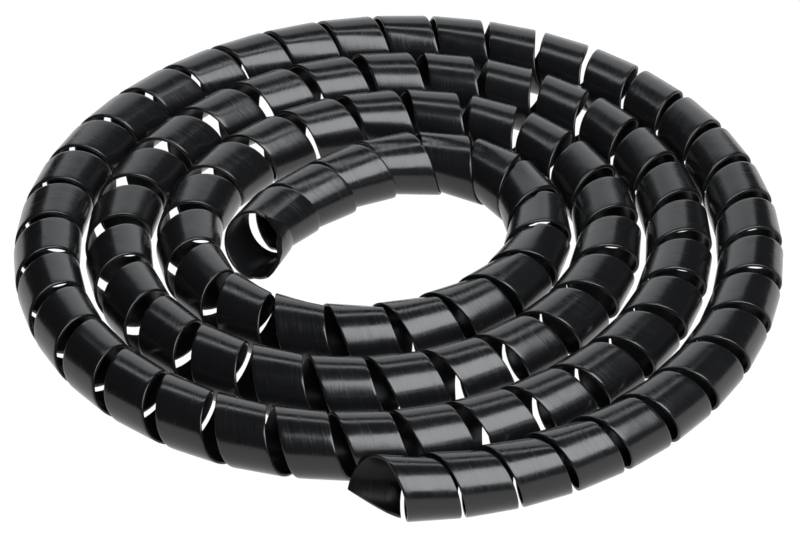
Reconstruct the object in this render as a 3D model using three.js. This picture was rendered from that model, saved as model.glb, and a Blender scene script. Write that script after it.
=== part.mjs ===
// Spiral cable wrap: one moulded tube of black plastic, slit along a helix from end to end,
// lying on the floor as a loose flat coil of nearly four turns.
// Millimetres, +Z up. X and Y are centred on the coil, and the floor is Z = 0.
import * as THREE from 'three';

// The tube. Its helical slit leaves one long band, which is bandWidth wide along the tube.
const tubeDiameter = 27;
const wallThickness = 1.3;
const bandWidth = 20.8;
const facetsPerTurn = 12;

// The flat coil that the tube lies in. It runs inwards and anticlockwise, seen from above.
const coilTurns = 3.82;
const coilStartAngle = -92.4;
const coilStartRadius = 162.2;
const turnSpacing = 30.7;
const ovalOnAxes = -3.7;
const ovalOnAxesPerTurn = 1.7;
const ovalOnDiagonals = 3.7;
const driftPerTurn = 2.9;

// The outer end hooks in a little, and the inner end straightens out.
const outerHookTurns = 0.19;
const outerHook = 10.6;
const innerTailTurns = 0.48;
const innerTailPull = 78;
const innerTailRelease = 87;

// The pitch of the helix at each quarter turn of the coil, from the outer end: the slit opens where
// the tube is pulled, and it stays nearly closed at the loose outer end.
const pitchAtQuarterTurns = [
  21.9, 26.4, 23.4, 25.1, 24.4, 27.1, 26.4, 29, 24.2,
  27.5, 25.8, 26.8, 23, 22.1, 22.3, 22.5, 22.7,
];
const pitchAtOuterEnd = 21.5;
const outerEndTurns = 0.17;
// On the inside of a tight bend the slit closes up to this.
const closedSlit = 0.8;

// The rings of the loose outer end lean: their top and their outer side lie further along the tube.
const outerLeanLength = 70;
const outerLeanTop = 2.5;
const outerLeanSide = 5;

// The band's middle starts and stops this far from the tube's ends, with its first facet at this
// angle. Both its ends are slanting cuts with a blunt tip, and the inner cut is the longer one.
const startOffset = 6.4;
const endOffset = 5.6;
const startFacetAngle = 285;
const outerSlantFacets = 2;
const innerSlantFacets = 4;
const tipWidth = 2.5;

const tubeRadius = tubeDiameter / 2;
const facetStep = 2 * Math.PI / facetsPerTurn;
const cornerScale = 1 / Math.cos(facetStep / 2);

// The centreline of the tube, by turns of the coil from the outer end.
class CoilCentreline extends THREE.Curve {
  getPoint(t, target = new THREE.Vector3()) {
    const turn = t * coilTurns;
    const angle = THREE.MathUtils.degToRad(coilStartAngle) + 2 * Math.PI * turn;
    const hook = Math.max(1 - turn / outerHookTurns, 0);
    const tail = Math.max((turn - coilTurns + innerTailTurns) / innerTailTurns, 0);
    const radius = coilStartRadius
      - turnSpacing * turn
      + (ovalOnAxes + ovalOnAxesPerTurn * turn) * Math.cos(2 * angle)
      + ovalOnDiagonals * Math.sin(2 * angle)
      - outerHook * hook ** 2
      - innerTailPull * tail ** 2
      + innerTailRelease * tail ** 3;
    const x = radius * Math.cos(angle);
    const y = radius * Math.sin(angle) + driftPerTurn * turn;
    return target.set(x, y, tubeRadius);
  }
}

const centreline = new CoilCentreline();
centreline.arcLengthDivisions = 4000;

// The helix's pitch at a distance along the tube, between the values at the quarter turns.
function pitchAt(distance) {
  const turn = coilTurns * centreline.getUtoTmapping(0, distance);
  const before = Math.min(Math.floor(4 * turn), pitchAtQuarterTurns.length - 2);
  const from = pitchAtQuarterTurns[before];
  const to = pitchAtQuarterTurns[before + 1];
  const pitch = THREE.MathUtils.lerp(from, to, 4 * turn - before);
  return THREE.MathUtils.lerp(pitchAtOuterEnd, pitch, Math.min(turn / outerEndTurns, 1));
}

// How much longer the tube is than its centreline at an angle round it, where it is bent.
// Angle 0 faces away from the coil's centre, and 90 degrees is the top.
function stretchAt(distance, angle) {
  const reach = tubeDiameter / 4;
  const start = Math.max(distance - reach, 0);
  const end = Math.min(distance + reach, centreline.getLength());
  const from = centreline.getTangent(centreline.getUtoTmapping(0, start));
  const to = centreline.getTangent(centreline.getUtoTmapping(0, end));
  const bend = from.cross(to).z / (2 * reach);
  return 1 + bend * tubeRadius * Math.cos(angle);
}

// How far the lean of the outer end moves the band along the tube at an angle round it.
function leanAt(distance, angle) {
  const looseness = Math.max(1 - distance / outerLeanLength, 0);
  return looseness * (outerLeanTop * Math.sin(angle) + outerLeanSide * Math.cos(angle));
}

// One section across the band, with its four corners in order round the section. The stiff band
// stays straight across, and the slit takes up the bend, until it is closed.
function bandSection(distance, angle, share, side) {
  const t = centreline.getUtoTmapping(0, distance);
  const middle = centreline.getPoint(t);
  const along = centreline.getTangent(t);
  const pitch = pitchAt(distance);
  const lean = leanAt(distance, angle);
  const leanOfNext = leanAt(distance + pitch, angle);
  const room = pitch * stretchAt(distance, angle) + leanOfNext - lean;
  const fullWidth = Math.min(bandWidth, room - closedSlit);
  const width = Math.max(fullWidth * share, tipWidth);
  middle.addScaledVector(along, lean + side * (fullWidth - width) / 2);
  const outwards = new THREE.Vector3(along.y, -along.x, 0)
    .multiplyScalar(Math.cos(angle))
    .setZ(Math.sin(angle));
  const corner = (end, radius) => middle.clone()
    .addScaledVector(along, end * width / 2)
    .addScaledVector(outwards, radius * cornerScale);
  const boreRadius = tubeRadius - wallThickness;
  return [corner(-1, tubeRadius), corner(1, tubeRadius), corner(1, boreRadius), corner(-1, boreRadius)];
}

// Where the band's middle is along the tube at each facet of the helix, up to the tube's end.
function facetDistances() {
  const distances = [];
  const lastDistance = centreline.getLength() - endOffset;
  let distance = startOffset;
  while (distance < lastDistance) {
    distances.push(distance);
    distance += pitchAt(distance) / facetsPerTurn;
  }
  return distances;
}

// The band's sections. It is right-handed, and its slanting cuts leave both tips on the coil's side.
function bandSections() {
  const distances = facetDistances();
  const lastFacet = distances.length - 1;
  return distances.map((distance, facet) => {
    const angle = THREE.MathUtils.degToRad(startFacetAngle) - facet * facetStep;
    const outerShare = facet / outerSlantFacets;
    const innerShare = (lastFacet - facet) / innerSlantFacets;
    const side = facet < outerSlantFacets ? 1 : -1;
    return bandSection(distance, angle, Math.min(outerShare, innerShare, 1), side);
  });
}

// The closed skin of the band: four faces between each two sections, and a cap at each end.
function bandGeometry() {
  const sections = bandSections();
  const corners = sections[0].length;
  const positions = [];
  const indices = [];
  for (const section of sections) {
    for (const corner of section) {
      positions.push(corner.x, corner.y, corner.z);
    }
  }
  for (let index = 0; index < sections.length - 1; index += 1) {
    const here = index * corners;
    const next = here + corners;
    for (let corner = 0; corner < corners; corner += 1) {
      const other = (corner + 1) % corners;
      indices.push(here + corner, next + other, here + other);
      indices.push(here + corner, next + corner, next + other);
    }
  }
  const last = (sections.length - 1) * corners;
  indices.push(0, 1, 2, 0, 2, 3);
  indices.push(last, last + 2, last + 1, last, last + 3, last + 2);
  const geometry = new THREE.BufferGeometry();
  geometry.setAttribute('position', new THREE.Float32BufferAttribute(positions, 3));
  geometry.setIndex(indices);
  geometry.computeVertexNormals();
  return geometry;
}

// The coil is centred on the middle of its own box, seen from above.
function centreOnBox(geometry) {
  geometry.computeBoundingBox();
  const middle = geometry.boundingBox.getCenter(new THREE.Vector3());
  geometry.translate(-middle.x, -middle.y, 0);
}

const blackPlastic = new THREE.MeshStandardMaterial({
  color: 0x121314,
  roughness: 0.22,
  metalness: 0,
});

const wrapGeometry = bandGeometry();
centreOnBox(wrapGeometry);

const spiralWrap = new THREE.Mesh(wrapGeometry, blackPlastic);
spiralWrap.name = 'spiral_wrap';

const cableWrap = new THREE.Group();
cableWrap.add(spiralWrap);

export default cableWrap;
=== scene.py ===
import bisect
import math
import bmesh
import bpy
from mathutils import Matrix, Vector


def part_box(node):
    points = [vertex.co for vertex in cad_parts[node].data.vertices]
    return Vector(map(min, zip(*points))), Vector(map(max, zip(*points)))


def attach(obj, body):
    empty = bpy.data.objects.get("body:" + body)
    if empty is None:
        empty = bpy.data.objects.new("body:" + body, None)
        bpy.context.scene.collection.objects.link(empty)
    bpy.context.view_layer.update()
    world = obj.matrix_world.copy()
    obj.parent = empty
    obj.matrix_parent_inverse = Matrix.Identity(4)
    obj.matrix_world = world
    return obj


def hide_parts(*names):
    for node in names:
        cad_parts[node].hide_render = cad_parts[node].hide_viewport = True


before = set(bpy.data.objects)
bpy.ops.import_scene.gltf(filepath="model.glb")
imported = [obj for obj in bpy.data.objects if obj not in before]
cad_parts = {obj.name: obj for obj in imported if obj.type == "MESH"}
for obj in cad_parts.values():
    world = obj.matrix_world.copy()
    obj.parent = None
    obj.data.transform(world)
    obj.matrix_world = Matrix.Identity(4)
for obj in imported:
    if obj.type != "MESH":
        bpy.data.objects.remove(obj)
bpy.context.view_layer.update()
mm = 0.001  # sizes below are in millimetres

# the tube, and the band that its slit leaves
band = {
    "node": "spiral_wrap",
    "wall": 1.3,
    "width": 20.8,
    "closedSlit": 0.8,      # narrowest slit before the bands ride over each other
    "tuckStart": 1.2,       # the far edge starts to dip when the slit is this much wider than that
    "tuckClearance": 0.15,
    "edgeRound": 0.32,      # softened corners of the slit's edges
    "edgeDip": 0.07,        # the face falls away a little towards each edge
    "edgeDipWidth": 2.2,
    "edgeColumns": (1.1, 2.4),                  # mesh columns beside each edge
    "faceColumns": (0.26, 0.42, 0.58, 0.74),    # and across the face, as shares of the width
    "boreColumns": (0.7, 0.3),
    "stepsPerTurn": 40,
    "stationStep": 5.0,     # degrees round the helix between two stations
    "startOffset": 6.4,     # where the band's middle starts along the tube
    "endOffset": 5.6,
    "startAngle": 285.0,    # round the tube: 0 faces away from the coil's centre, 90 is up
    "outerSlant": 60.0,     # the ends are cut on a slant over these angles
    "innerSlant": 120.0,
    "facetsPerTurn": 12,
    "leanLength": 70.0,     # the rings of the loose outer end lean, this far along the tube
    "leanTop": 2.5,
    "leanSide": 5.0,
    "squeeze": 2.2,         # the loose end's inner side gives way to the turn beside it
}

# the flat coil, from its outer end inwards
coil = {
    "turns": 3.82,
    "startAngle": -92.4,
    "startRadius": 162.2,
    "turnSpacing": 30.7,
    "ovalOnAxes": -3.7,
    "ovalOnAxesPerTurn": 1.7,
    "ovalOnDiagonals": 3.7,
    "driftPerTurn": 2.9,
    "outerHookTurns": 0.19,
    "outerHook": 10.6,
    "innerTailTurns": 0.48,
    "innerTailPull": 78.0,
    "innerTailRelease": 87.0,
    "pitches": [21.9, 26.4, 23.4, 25.1, 24.4, 27.1, 26.4, 29, 24.2,  # at each quarter turn
                27.5, 25.8, 26.8, 23, 22.1, 22.3, 22.5, 22.7],
    "pitchAtOuterEnd": 21.5,
    "outerEndTurns": 0.17,
    "divisions": 4000,
}

finish = {
    "colour": (0.0035, 0.0036, 0.0039, 1.0),
    "colourWorn": (0.0055, 0.0055, 0.006, 1.0),
    "roughness": 0.18,
    "roughnessSpread": 0.06,
    "boreRoughness": 0.12,  # the tube's inside is duller by this much
    "faceShine": 0.5,
    "boreShine": 0.15,
    "glassiness": 1.5,
    "patchesPerMetre": 28,  # slow patches of colour
    "patchDetail": 4,
    "grainPerMetre": 180,
    "grainDetail": 5,
    "grainRange": (0.3, 0.7),
    "ripplePeriod": 0.65,   # fine die lines that run along the band
    "ripplesPerMetre": 25,  # along the band they change this slowly
    "rippleDetail": 3,
    "rippleHeight": 0.035,
    "rippleRange": (0.4, 0.75),
    "rippleRoughness": 0.12,
    "waveSize": 9.0,        # slow waviness of the wall
    "waveDetail": 1,
    "waveHeight": 0.1,
}

studio = {
    "floorSize": 8.0,
    "floorColour": (0.02, 0.02, 0.02, 1.0),
    "floorRoughness": 0.9,
    "floorShine": 0.1,
    "floorGlow": 1.0,       # the floor is burnt out to plain white
    "sky": 0.02,
    "lightColour": (0.94, 0.97, 1.0),
    # each panel: a corner, its two sides and its brightness
    "panels": {
        "window": ((480, -2470, 1060), (2150, 1506, 0), (-868, 1239, 1240), 7.5),
        "topStrip": ((-350, 180, 540), (700, 0, 0), (0, 90, 0), 4.5),
        "backWall": ((320, 600, 0), (-640, 0, 0), (0, 0, 560), 1.3),
    },
}

shot = {
    "elevation": 36.0,
    "distance": 1.770,
    "target": (0.4916, -12.9965, 13.5),
    "lens": 195.46,
    "sensor": 36.0,
    "roll": 0.0112,
    "farClip": 20,
}


def coilPoint(turn):
    # centreline of the tube seen from above, by turns from the outer end
    angle = math.radians(coil["startAngle"]) + 2 * math.pi * turn
    hook = max(1 - turn / coil["outerHookTurns"], 0)
    tail = max((turn - coil["turns"] + coil["innerTailTurns"]) / coil["innerTailTurns"], 0)
    oval = coil["ovalOnAxes"] + coil["ovalOnAxesPerTurn"] * turn
    radius = coil["startRadius"] - coil["turnSpacing"] * turn
    radius += oval * math.cos(2 * angle) + coil["ovalOnDiagonals"] * math.sin(2 * angle)
    radius -= coil["outerHook"] * hook ** 2
    radius += coil["innerTailRelease"] * tail ** 3 - coil["innerTailPull"] * tail ** 2
    drift = coil["driftPerTurn"] * turn
    return Vector((radius * math.cos(angle), radius * math.sin(angle) + drift))


class Centreline:
    # the coil's line measured by its own length, so that the band can be laid along it

    def __init__(self):
        divisions = coil["divisions"]
        self.turns = [coil["turns"] * step / divisions for step in range(divisions + 1)]
        self.points = [coilPoint(turn) for turn in self.turns]
        self.lengths = [0.0]
        for before, after in zip(self.points, self.points[1:]):
            self.lengths.append(self.lengths[-1] + (after - before).length)
        self.length = self.lengths[-1]

    def turnAt(self, distance):
        after = min(max(bisect.bisect_right(self.lengths, distance), 1), len(self.lengths) - 1)
        start, end = self.lengths[after - 1], self.lengths[after]
        share = (distance - start) / (end - start)
        return self.turns[after - 1] + share * (self.turns[after] - self.turns[after - 1])

    def alongAt(self, distance):
        turn = self.turnAt(distance)
        reach = 0.0004
        return (coilPoint(turn + reach) - coilPoint(turn - reach)).normalized()

    def bendAt(self, distance):
        reach = tubeRadius / 2
        before = self.alongAt(max(distance - reach, 0))
        after = self.alongAt(min(distance + reach, self.length))
        return (before.x * after.y - before.y * after.x) / (2 * reach)

    def pitchAt(self, distance):
        turn = self.turnAt(distance)
        pitches = coil["pitches"]
        quarter = min(int(4 * turn), len(pitches) - 2)
        pitch = pitches[quarter] + (pitches[quarter + 1] - pitches[quarter]) * (4 * turn - quarter)
        settled = min(turn / coil["outerEndTurns"], 1)
        return coil["pitchAtOuterEnd"] + (pitch - coil["pitchAtOuterEnd"]) * settled


def facetDistances():
    # where the band's middle is along the tube at each twelfth of a turn of the helix
    distances = [band["startOffset"]]
    while True:
        following = distances[-1] + centreline.pitchAt(distances[-1]) / band["facetsPerTurn"]
        if following >= centreline.length - band["endOffset"]:
            return distances
        distances.append(following)


def layStations():
    # every few degrees round the helix: the tube's place, direction, bend and pitch there
    stations = []
    perFacet = 360 / band["facetsPerTurn"] / band["stationStep"]
    for before, after in zip(distances, distances[1:]):
        for part in range(int(perFacet)):
            stations.append(before + (after - before) * part / perFacet)
    stations.append(distances[-1])
    laid = []
    for distance in stations:
        point = coilPoint(centreline.turnAt(distance))
        along = centreline.alongAt(distance)
        bend, pitch = centreline.bendAt(distance), centreline.pitchAt(distance)
        laid.append((point, along, bend, pitch, distance))
    return laid


def bandProfile():
    # closed outline of the band's section: from the near edge along the tube, and below the face
    width, wall, soft = band["width"], band["wall"], band["edgeRound"]
    cut = soft * (1 - math.sqrt(0.5))

    def face(across):
        edge = min(across, width - across)
        return band["edgeDip"] * max(1 - edge / band["edgeDipWidth"], 0) ** 2

    nearColumns = [soft, *band["edgeColumns"]]
    outer = nearColumns + [width * share for share in band["faceColumns"]]
    outer += [width - column for column in reversed(nearColumns)]
    inner = [width - soft] + [width * share for share in band["boreColumns"]] + [soft]
    outline = [(0, face(0) + soft), (cut, face(0) + cut)]
    outline += [(across, face(across)) for across in outer]
    outline += [(width - cut, face(0) + cut), (width, face(0) + soft)]
    outline += [(width, wall - soft), (width - cut, wall - cut)]
    outline += [(across, wall) for across in inner]
    outline += [(cut, wall - cut), (0, wall - soft)]
    return outline


def smooth(value):
    value = min(max(value, 0), 1)
    return value * value * (3 - 2 * value)


def loosenessAt(distance):
    return max(1 - distance / band["leanLength"], 0)


def leanAt(distance, angle):
    lean = band["leanTop"] * math.sin(angle) + band["leanSide"] * math.cos(angle)
    return loosenessAt(distance) * lean


def bandPlace(turned, across, depth):
    # a point of the band after it has turned this many degrees round the tube
    index = min(max(turned / band["stationStep"], 0), len(stations) - 1.001)
    low = int(index)
    share = index - low
    here, there = stations[low], stations[low + 1]
    point = here[0].lerp(there[0], share)
    along = here[1].lerp(there[1], share).normalized()
    bend = here[2] + (there[2] - here[2]) * share
    pitch = here[3] + (there[3] - here[3]) * share
    distance = here[4] + (there[4] - here[4]) * share
    angle = math.radians(band["startAngle"] - turned)
    lean = leanAt(distance, angle)
    room = pitch * (1 + bend * tubeRadius * math.cos(angle))
    room += leanAt(distance + pitch, angle) - lean
    overlap = band["width"] + band["closedSlit"] - room
    tucked = smooth((overlap + band["tuckStart"]) / band["tuckStart"])
    tuck = tucked * (band["wall"] + band["tuckClearance"]) / (1 - max(overlap, 0) / band["width"])
    radius = tubeRadius - depth - tuck * across / band["width"]
    radius -= band["squeeze"] * loosenessAt(distance) * max(-math.cos(angle), 0)
    offset = across - band["width"] / 2 + lean
    outwards = radius * math.cos(angle)
    x = point.x + along.x * offset + along.y * outwards
    y = point.y + along.y * offset - along.x * outwards
    return Vector((x, y, tubeRadius + radius * math.sin(angle)))


def makeBand():
    print("laying the band round the tube and along the coil")
    outline = bandProfile()
    around = len(outline)
    steps = round(turnedTotal / 360 * band["stepsPerTurn"])

    def turnedAt(row, across):
        # the near edge starts and ends later round the tube than the far edge does, and
        # the rows straighten out over twice the slant
        farness = across / band["width"]
        turned = turnedTotal * row / steps
        left = turnedTotal - turned
        start = band["outerSlant"] * (1 - farness)
        end = band["innerSlant"] * farness
        if turned < 2 * band["outerSlant"]:
            return start + turned * (1 - start / band["outerSlant"] / 2)
        if left < 2 * band["innerSlant"]:
            return turnedTotal - end - left * (1 - end / band["innerSlant"] / 2)
        return turned

    edgeLengths = [0.0]
    for corner in range(around):
        here, there = outline[corner], outline[(corner + 1) % around]
        edgeLengths.append(edgeLengths[-1] + math.dist(here, there))
    bm = bmesh.new()
    bmesh.ops.create_grid(bm, x_segments=steps, y_segments=around, size=1)
    uvLayer = bm.loops.layers.uv.new("bandUV")
    gridPlace = {}
    for vert in bm.verts:
        row = round((vert.co.x + 1) / 2 * steps)
        column = round((vert.co.y + 1) / 2 * around)
        gridPlace[vert] = (row, column)
    for face in bm.faces:
        face.smooth = True
        for loop in face.loops:
            row, column = gridPlace[loop.vert]
            turned = turnedAt(row, outline[column % around][0])
            loop[uvLayer].uv = (math.radians(turned) * tubeRadius * mm, edgeLengths[column] * mm)
    seam = []
    for vert, (row, column) in gridPlace.items():
        across, depth = outline[column % around]
        vert.co = bandPlace(turnedAt(row, across), across, depth) * mm
        if column in (0, around):
            seam.append(vert)
    bmesh.ops.remove_doubles(bm, verts=seam, dist=0.001 * mm)
    rims = [edge for edge in bm.edges if edge.is_boundary]
    bmesh.ops.holes_fill(bm, edges=rims, sides=0)
    for edge in rims:
        edge.smooth = False
    bmesh.ops.recalc_face_normals(bm, faces=bm.faces)
    mesh = bpy.data.meshes.new("wrapBand")
    bm.to_mesh(mesh)
    bm.free()
    lows = [min(v.co[axis] for v in mesh.vertices) for axis in (0, 1)]
    highs = [max(v.co[axis] for v in mesh.vertices) for axis in (0, 1)]
    middle = (wrapLow + wrapHigh) / 2
    for vert in mesh.vertices:
        vert.co.x += middle.x - (lows[0] + highs[0]) / 2
        vert.co.y += middle.y - (lows[1] + highs[1]) / 2
    wrap = bpy.data.objects.new("wrapBand", mesh)
    bpy.context.scene.collection.objects.link(wrap)
    print("band has", len(mesh.vertices), "vertices and", len(mesh.polygons), "faces")
    return wrap


def blackPlastic():
    print("mixing the black plastic")
    material = bpy.data.materials.new("blackPlastic")
    material.use_nodes = True
    nodes, links = material.node_tree.nodes, material.node_tree.links
    shader = nodes["Principled BSDF"]
    shader.inputs["IOR"].default_value = finish["glassiness"]
    place = nodes.new("ShaderNodeTexCoord")
    uv = nodes.new("ShaderNodeUVMap")
    uv.uv_map = "bandUV"

    # slow patches of colour
    patches = nodes.new("ShaderNodeTexNoise")
    patches.inputs["Scale"].default_value = finish["patchesPerMetre"]
    patches.inputs["Detail"].default_value = finish["patchDetail"]
    links.new(place.outputs["Object"], patches.inputs["Vector"])
    colour = nodes.new("ShaderNodeMixRGB")
    colour.inputs[1].default_value = finish["colour"]
    colour.inputs[2].default_value = finish["colourWorn"]
    links.new(patches.outputs["Fac"], colour.inputs[0])
    links.new(colour.outputs[0], shader.inputs["Base Color"])

    # a grain in the gloss, and the duller inside
    grain = nodes.new("ShaderNodeTexNoise")
    grain.inputs["Scale"].default_value = finish["grainPerMetre"]
    grain.inputs["Detail"].default_value = finish["grainDetail"]
    links.new(place.outputs["Object"], grain.inputs["Vector"])
    gloss = nodes.new("ShaderNodeMapRange")
    halfSpread = finish["roughnessSpread"] / 2
    gloss.inputs["From Min"].default_value = finish["grainRange"][0]
    gloss.inputs["From Max"].default_value = finish["grainRange"][1]
    gloss.inputs["To Min"].default_value = finish["roughness"] - halfSpread
    gloss.inputs["To Max"].default_value = finish["roughness"] + halfSpread
    links.new(grain.outputs["Fac"], gloss.inputs["Value"])
    split = nodes.new("ShaderNodeSeparateXYZ")
    links.new(uv.outputs["UV"], split.inputs[0])
    inside = nodes.new("ShaderNodeMath")
    inside.operation = "GREATER_THAN"
    inside.inputs[1].default_value = (band["width"] + band["wall"]) * mm
    links.new(split.outputs["Y"], inside.inputs[0])
    duller = nodes.new("ShaderNodeMath")
    duller.operation = "MULTIPLY_ADD"
    duller.inputs[1].default_value = finish["boreRoughness"]
    links.new(inside.outputs[0], duller.inputs[0])
    links.new(gloss.outputs[0], duller.inputs[2])
    shine = nodes.new("ShaderNodeMapRange")
    shine.inputs["To Min"].default_value = finish["faceShine"]
    shine.inputs["To Max"].default_value = finish["boreShine"]
    links.new(inside.outputs[0], shine.inputs["Value"])
    links.new(shine.outputs[0], shader.inputs["Specular IOR Level"])

    # fine die lines that run along the band, and a slow waviness of the wall
    lines = nodes.new("ShaderNodeTexNoise")
    lines.inputs["Scale"].default_value = 1
    lines.inputs["Detail"].default_value = finish["rippleDetail"]
    stretch = nodes.new("ShaderNodeMapping")
    across = 1 / (finish["ripplePeriod"] * mm)
    stretch.inputs["Scale"].default_value = (finish["ripplesPerMetre"], across, 1)
    links.new(uv.outputs["UV"], stretch.inputs["Vector"])
    links.new(stretch.outputs[0], lines.inputs["Vector"])
    streaks = nodes.new("ShaderNodeMapRange")
    streaks.inputs["From Min"].default_value = finish["rippleRange"][0]
    streaks.inputs["From Max"].default_value = finish["rippleRange"][1]
    streaks.inputs["To Max"].default_value = finish["rippleRoughness"]
    links.new(lines.outputs["Fac"], streaks.inputs["Value"])
    streaky = nodes.new("ShaderNodeMath")
    links.new(duller.outputs[0], streaky.inputs[0])
    links.new(streaks.outputs[0], streaky.inputs[1])
    links.new(streaky.outputs[0], shader.inputs["Roughness"])
    ripple = nodes.new("ShaderNodeBump")
    ripple.inputs["Strength"].default_value = 1
    ripple.inputs["Distance"].default_value = finish["rippleHeight"] * mm
    links.new(lines.outputs["Fac"], ripple.inputs["Height"])

    waves = nodes.new("ShaderNodeTexNoise")
    waves.inputs["Scale"].default_value = 1 / (finish["waveSize"] * mm)
    waves.inputs["Detail"].default_value = finish["waveDetail"]
    links.new(place.outputs["Object"], waves.inputs["Vector"])
    wavy = nodes.new("ShaderNodeBump")
    wavy.inputs["Distance"].default_value = finish["waveHeight"] * mm
    links.new(waves.outputs["Fac"], wavy.inputs["Height"])
    links.new(ripple.outputs[0], wavy.inputs["Normal"])
    links.new(wavy.outputs[0], shader.inputs["Normal"])
    return material


def makeFloor():
    print("laying the pale floor")
    bm = bmesh.new()
    bmesh.ops.create_grid(bm, x_segments=1, y_segments=1, size=studio["floorSize"] / 2)
    mesh = bpy.data.meshes.new("floor")
    bm.to_mesh(mesh)
    bm.free()
    floor = bpy.data.objects.new("floor", mesh)
    bpy.context.scene.collection.objects.link(floor)
    material = bpy.data.materials.new("paleFloor")
    material.use_nodes = True
    shader = material.node_tree.nodes["Principled BSDF"]
    shader.inputs["Base Color"].default_value = studio["floorColour"]
    shader.inputs["Roughness"].default_value = studio["floorRoughness"]
    shader.inputs["Specular IOR Level"].default_value = studio["floorShine"]
    shader.inputs["Emission Color"].default_value = (1, 1, 1, 1)
    shader.inputs["Emission Strength"].default_value = studio["floorGlow"]
    mesh.materials.append(material)


def lightPanel(name, corner, across, upwards, level):
    # a flat soft light with an even brightness, seen in reflections only
    centre = Vector(corner) + (Vector(across) + Vector(upwards)) / 2
    data = bpy.data.lights.new(name, "AREA")
    data.shape = "RECTANGLE"
    data.size = Vector(across).length * mm
    data.size_y = Vector(upwards).length * mm
    data.energy = level * math.pi * data.size * data.size_y
    data.color = studio["lightColour"]
    light = bpy.data.objects.new(name, data)
    bpy.context.scene.collection.objects.link(light)
    side, rise = Vector(across).normalized(), Vector(upwards).normalized()
    facing = side.cross(rise)
    for row in range(3):
        values = (side[row], rise[row], facing[row], centre[row] * mm)
        for column in range(4):
            light.matrix_world[row][column] = values[column]
    light.visible_camera = False


def lightStudio():
    # a wide window at the front right, a strip above the coil and a bright back wall
    print("lighting the studio")
    world = bpy.data.worlds.new("studio")
    bpy.context.scene.world = world
    world.use_nodes = True
    background = world.node_tree.nodes["Background"]
    background.inputs["Color"].default_value = (1, 1, 1, 1)
    background.inputs["Strength"].default_value = studio["sky"]
    for name, (corner, across, upwards, level) in studio["panels"].items():
        lightPanel(name, corner, across, upwards, level)


def placeCamera():
    print("placing the camera")
    elevation = math.radians(shot["elevation"])
    back = Vector((0, -math.cos(elevation), math.sin(elevation)))
    right = Vector((1, 0, 0))
    up = back.cross(right)
    turnedRight = right * math.cos(shot["roll"]) + up * math.sin(shot["roll"])
    turnedUp = up * math.cos(shot["roll"]) - right * math.sin(shot["roll"])
    data = bpy.data.cameras.new("camera")
    data.sensor_fit = "HORIZONTAL"
    data.sensor_width = shot["sensor"]
    data.lens = shot["lens"]
    data.clip_end = shot["farClip"]
    camera = bpy.data.objects.new("camera", data)
    bpy.context.scene.collection.objects.link(camera)
    turn = camera.matrix_world.copy()
    place = Vector(shot["target"]) * mm + back * shot["distance"]
    for row in range(3):
        turn[row][0], turn[row][1], turn[row][2] = turnedRight[row], turnedUp[row], back[row]
        turn[row][3] = place[row]
    camera.matrix_world = turn
    bpy.context.scene.camera = camera
    bpy.context.scene.view_settings.view_transform = "Standard"


wrapLow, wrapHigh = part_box(band["node"])
tubeRadius = (wrapHigh.z - wrapLow.z) / 2 / mm
centreline = Centreline()
distances = facetDistances()
turnedTotal = (len(distances) - 1) * 360 / band["facetsPerTurn"]
stations = layStations()

placeCamera()
wrap = makeBand()
wrap.data.materials.append(blackPlastic())
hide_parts(band["node"])
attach(wrap, "root")
makeFloor()
lightStudio()
